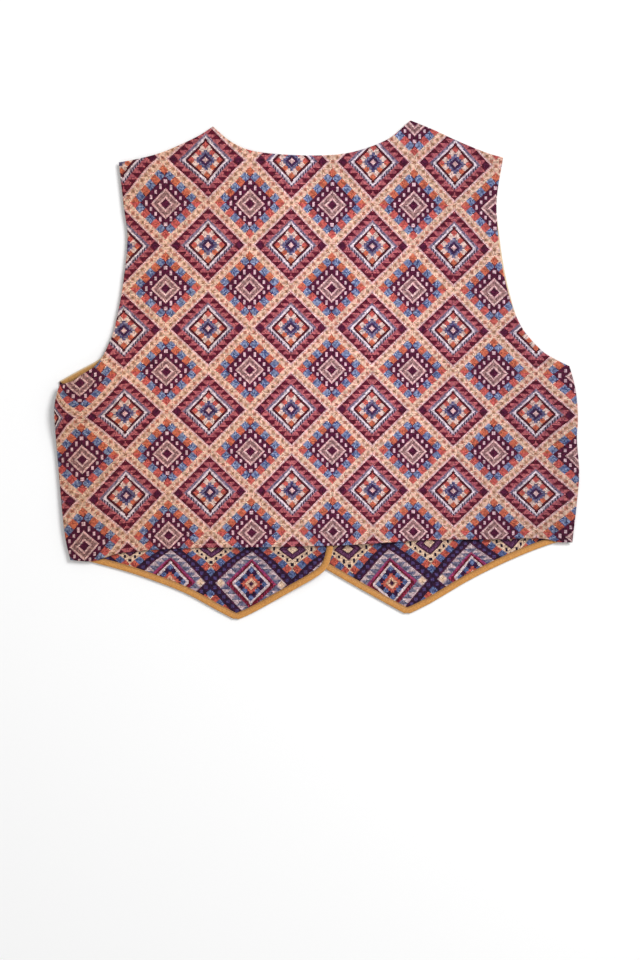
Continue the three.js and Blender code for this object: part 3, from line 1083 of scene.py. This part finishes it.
def cell_noise(tree, across, up):
    """A chance from 0 to 1 for each cell."""
    place = tree.nodes.new("ShaderNodeCombineXYZ")
    plug(tree, across, place.inputs[0])
    plug(tree, up, place.inputs[1])
    chance = tree.nodes.new("ShaderNodeTexWhiteNoise")
    chance.noise_dimensions = "2D"
    tree.links.new(place.outputs[0], chance.inputs[0])
    return Number(tree, chance.outputs["Value"])


def mixed_colour(tree, share, first, second):
    node = tree.nodes.new("ShaderNodeMix")
    node.data_type = "RGBA"
    plug(tree, share, node.inputs[0])
    for colour, place in ((first, node.inputs[6]), (second, node.inputs[7])):
        if isinstance(colour, tuple):
            place.default_value = linear(colour)
        else:
            tree.links.new(colour, place)
    return node.outputs[2]


def scaled_colour(tree, colour, by):
    node = tree.nodes.new("ShaderNodeVectorMath")
    node.operation = "SCALE"
    tree.links.new(colour, node.inputs[0])
    plug(tree, by, node.inputs["Scale"])
    return node.outputs[0]


def tinted_colour(tree, colour, tint):
    node = tree.nodes.new("ShaderNodeVectorMath")
    node.operation = "MULTIPLY"
    tree.links.new(colour, node.inputs[0])
    node.inputs[1].default_value = tint
    return node.outputs[0]


def add_bump(tree, shader, height, sizes):
    bump = tree.nodes.new("ShaderNodeBump")
    for socket, value in sizes.items():
        bump.inputs[socket].default_value = value
    tree.links.new(height.socket, bump.inputs["Height"])
    tree.links.new(bump.outputs[0], shader.inputs["Normal"])


def golden_sateen(name, golden_tones, fold_highlight, fold_reach):
    """The facing's plain golden cloth, cut on the bias, with a row of stitches along its seam. Its colour
    has a painted highlight where it rolls round the outer edge, up to fold_reach of the way round the
    section."""
    material, tree, shader = plain_material(name, SATEEN_FINISH)
    lengthwise, around = map_coordinates(tree, "cloth")
    across = around * (2 * FACING_WIDTH)
    thread = ((lengthwise + across) * (2 * math.pi / THREAD_PITCH)).math("SINE")
    other = ((lengthwise - across) * (2 * math.pi / THREAD_PITCH)).math("SINE")
    chance = cell_noise(tree, (lengthwise * PATCH_RATE).round(), (across * PATCH_RATE).round())
    short_wave = (lengthwise * WRINKLES[0] + chance * WRINKLE_CHANCE).math("SINE")
    wrinkle = (short_wave + (lengthwise * WRINKLES[1]).math("SINE")) * 0.5
    # Painted highlight: the colour turns paler on the fold round the outer edge.
    on_fold_highlight = ((fold_reach - around) * FOLD_SHARPNESS).clamped(0.0, FOLD_MOST)
    colour = mixed_colour(tree, on_fold_highlight, mixed_colour(tree, chance, *golden_tones), fold_highlight)
    from_seam = abs(around - SEAM_PLACE)
    in_stitch = abs(lengthwise.wrapped(STITCH / 2)) < STITCH * STITCH_SHARE
    on_stitch = (from_seam < STITCH_REACH) & in_stitch
    # Painted shade: darker from INNER_START to the inner edge and in the seam's groove, and the relief paints
    # shade and light into the colour.
    shade = (around - INNER_START).math("MAXIMUM", 0.0) * INNER_DARKENING + OUTER_LIGHT
    shade = shade - (from_seam < SEAM_REACH) * SEAM_SHADE + on_stitch * STITCH_LIGHT
    relief = thread * other * THREAD_HEIGHT + wrinkle * WRINKLE_HEIGHT + on_stitch * STITCH_HEIGHT
    colour = scaled_colour(tree, colour, shade + relief * SATEEN_RELIEF_LIGHT)
    tree.links.new(colour, shader.inputs["Base Color"])
    add_bump(tree, shader, relief, SATEEN_BUMP)
    return material


# ---------------------------------------------------------------------------------------------------
# The pieces.
FACE_SPECKLE = 0.64
REVERSE_SPECKLE = 0.7
EDGE_TONES = ((216, 154, 73), (178, 115, 53))  # of the facings at the hems
# The facings' folds are paler with a painted highlight.
EDGE_FOLD_HIGHLIGHT = (226, 202, 160)
EDGE_FOLD_REACH = 0.09
ARMHOLE_SHADED_TONES = ((204, 150, 78), (166, 118, 64))  # and at the armholes, darker and greyer with painted shade
ARMHOLE_FOLD_HIGHLIGHT = (204, 184, 152)
ARMHOLE_FOLD_REACH = 0.23

# Each panel's cut: its width, its length and its area.
BACK_CUT = (512, 432, 170400)
LEFT_FRONT_CUT = (272, 482, 90900)
RIGHT_FRONT_CUT = (269, 482, 88600)
STRIP_CUT_WIDTH = 10  # the width given to each strip's cut; the least that a sheet may have


def strip_lines(loop, tip, first, count):
    """The outer and the inner line of a facing that runs along part of an outline."""
    outer, inner = rounded(loop, tip), inset(loop, FACING_WIDTH)
    numbers = (first + np.arange(count + 1)) % len(loop)
    return outer[numbers], inner[numbers]


def declare(piece, node, cut):
    width, length, area = cut
    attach(piece, "root")
    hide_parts(node)
    width * MM
    length * MM
    area * MM * MM


def build_fronts(face, reverse):
    """Both fronts, their reverse up, each with its sides and the place of the point in its hem."""
    across, hem = FRONT_CELLS["across"], FRONT_CELLS["hem"]
    materials = [reverse, face]
    fronts = {}
    for hand, sides, tip, loft, repeats in (
        ("right", right_front_sides(), across - hem, RIGHT_LOFT, RIGHT_REPEATS),
        ("left", left_front_sides(), hem, LEFT_LOFT, LEFT_REPEATS),
    ):
        softened = {**sides, "bottom": rounded(sides["bottom"], tip)}
        heights_of = lofted_heights(f"front_{hand}", FRONT_CREASES, loft)
        cloth = shell(f"{hand}_front_cloth", softened, heights_of, repeats, materials, 1, paired_islands)
        fronts[hand] = cloth, sides, tip
    return fronts


def build_strips(fronts):
    """The four facings. Each runs along its front's outline from a first cell."""
    across, up, side = FRONT_CELLS["across"], FRONT_CELLS["along"], FRONT_CELLS["side"]
    counts = {"edge": across + up, "armhole": up - side}
    golden = {
        "edge": golden_sateen("golden_sateen", EDGE_TONES, EDGE_FOLD_HIGHLIGHT, EDGE_FOLD_REACH),
        # Painted shade makes the armhole facings' sateen darker and greyer.
        "armhole": golden_sateen("shaded_sateen", ARMHOLE_SHADED_TONES, ARMHOLE_FOLD_HIGHLIGHT, ARMHOLE_FOLD_REACH),
    }
    for hand, edge, first in (
        ("right", "edge", 2 * across + up),
        ("right", "armhole", across + side),
        ("left", "edge", 0),
        ("left", "armhole", 2 * across + up),
    ):
        cloth, sides, tip = fronts[hand]
        outer, inner = strip_lines(outline(sides), tip, first, counts[edge])
        piece, length = strip(f"{hand}_{edge}_strip", outer, inner, tree_of(cloth), golden[edge])
        cut = (STRIP_CUT_WIDTH, length, FACING_WIDTH * length)
        declare(piece, f"{edge}_facing_{hand}", cut)


def build_vest():
    face = jacquard("jacquard_face", FACE, FACE_SPECKLE)
    reverse = jacquard("jacquard_reverse", REVERSE, REVERSE_SPECKLE)
    fronts = build_fronts(face, reverse)
    left, right = fronts["left"][0], fronts["right"][0]
    build_strips(fronts)
    heights_of = lofted_heights("back_panel", BACK_CREASES, BACK_LOFT)
    back = shell("back_cloth", back_sides(), heights_of, back_repeats, [face, reverse], 0, stacked_islands)
    declare(back, "back_panel", BACK_CUT)
    declare(left, "front_left", LEFT_FRONT_CUT)
    declare(right, "front_right", RIGHT_FRONT_CUT)


# ---------------------------------------------------------------------------------------------------
# Stage, light and camera.
IMAGE_LONG_SIDE = 938  # millimetres of floor along the picture's long side
VIEW_CENTRE = (2.9, -107.0)
LENS = 85
SENSOR = 36
FLOOR_REACH = 3  # metres from the middle
FLOOR_LEVEL = -0.0003
FLOOR_COLOUR = (253, 253, 253)
SKY_STRENGTH = 0.6


def build_floor():
    material, tree, shader = plain_material("floor_white", FLOOR_FINISH)
    shader.inputs["Base Color"].default_value = linear(FLOOR_COLOUR)
    square = [(-1, -1), (1, -1), (1, 1), (-1, 1)]
    corners = [(x * FLOOR_REACH, y * FLOOR_REACH, FLOOR_LEVEL) for x, y in square]
    mesh = bpy.data.meshes.new("floor")
    mesh.from_pydata(corners, [], [(0, 1, 2, 3)])
    mesh.materials.append(material)
    floor = bpy.data.objects.new("floor", mesh)
    bpy.context.scene.collection.objects.link(floor)


def add_light(name, place, size, power):
    """A round soft light that shines at the middle of the floor."""
    lamp = bpy.data.lights.new(name, "AREA")
    lamp.shape = "DISK"
    lamp.size = size
    lamp.energy = power
    light = bpy.data.objects.new(name, lamp)
    light.location = place
    light.rotation_euler = (-Vector(place)).to_track_quat("-Z", "Y").to_euler()
    bpy.context.scene.collection.objects.link(light)


def build_light():
    world = bpy.data.worlds.new("studio")
    world.use_nodes = True
    sky = world.node_tree.nodes["Background"]
    sky.inputs["Color"].default_value = (1, 1, 1, 1)
    sky.inputs["Strength"].default_value = SKY_STRENGTH
    bpy.context.scene.world = world
    bpy.context.scene.view_settings.view_transform = "Standard"
    add_light("key", place=(1.5, 1.2, 2.0), size=1.2, power=56)


def build_camera():
    camera = bpy.data.objects.new("camera", bpy.data.cameras.new("camera"))
    camera.data.lens = LENS
    camera.data.sensor_width = SENSOR
    distance = IMAGE_LONG_SIDE * LENS / SENSOR
    camera.location = (VIEW_CENTRE[0] * MM, VIEW_CENTRE[1] * MM, distance * MM)
    bpy.context.scene.collection.objects.link(camera)
    bpy.context.scene.camera = camera


build_camera()
build_light()
build_floor()
build_vest()
